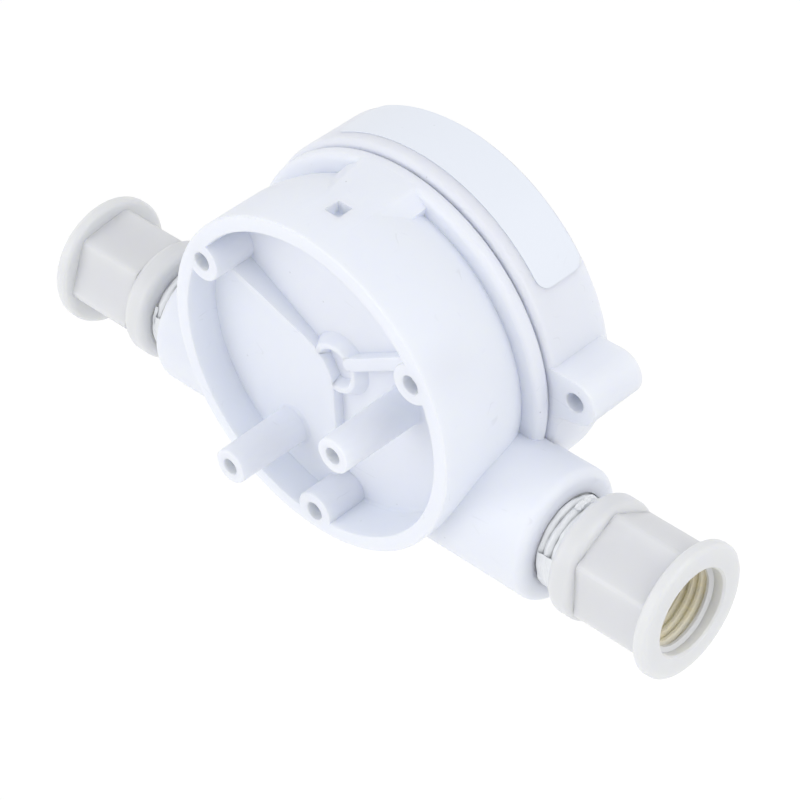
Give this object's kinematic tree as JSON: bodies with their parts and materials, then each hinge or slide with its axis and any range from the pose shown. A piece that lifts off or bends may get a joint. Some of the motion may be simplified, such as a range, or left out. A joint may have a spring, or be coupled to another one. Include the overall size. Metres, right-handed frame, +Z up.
{
  "type": "paddle-wheel flow indicator",
  "caption": "In-line plastic flow indicator: round moulded body with open back, twist-on front ring with fixing ears, clear window, spinning paddle wheel and threaded port adapters.",
  "frame": {"origin": "on the axis of rotor, window and ring, in the back plane of the ring and its two ears, midway between the ear holes", "axes": "+X along the flow axis towards the inlet adapter, +Y towards the open back, +Z up, away from the ports"},
  "size_m": [0.1162, 0.0385, 0.0565],
  "materials": {
    "body_plastic": "satin moulded",
    "ring_plastic": "satin moulded",
    "label_film": "plain film",
    "lens_clear": "polished clear",
    "seal_rubber": "matt",
    "rotor_plastic": "moulded",
    "pin_ceramic": "ground ceramic",
    "adapter_plastic": "natural moulded",
    "seal_tape": "wound film"
  },
  "bodies": {
    "housing": {"flow_body": "body_plastic", "lens": "lens_clear", "lens_oring": "seal_rubber", "rotor_pin": "pin_ceramic", "inlet_adapter": "adapter_plastic", "outlet_adapter": "adapter_plastic", "inlet_tape": "seal_tape", "outlet_tape": "seal_tape"},
    "bezel": {"bezel_ring": "ring_plastic", "label": "label_film"},
    "wheel": {"rotor": "rotor_plastic"}
  },
  "joints": [
    {"name": "bezel_twist", "type": "hinge", "parent": "housing", "child": "bezel", "pos_m": [0, 0, 0], "axis": [0, -1, 0], "range_deg": [0, 9.5]},
    {"name": "rotor_spin", "type": "hinge", "parent": "housing", "child": "wheel", "pos_m": [0, 0, 0], "axis": [0, 1, 0], "continuous": true}
  ]
}
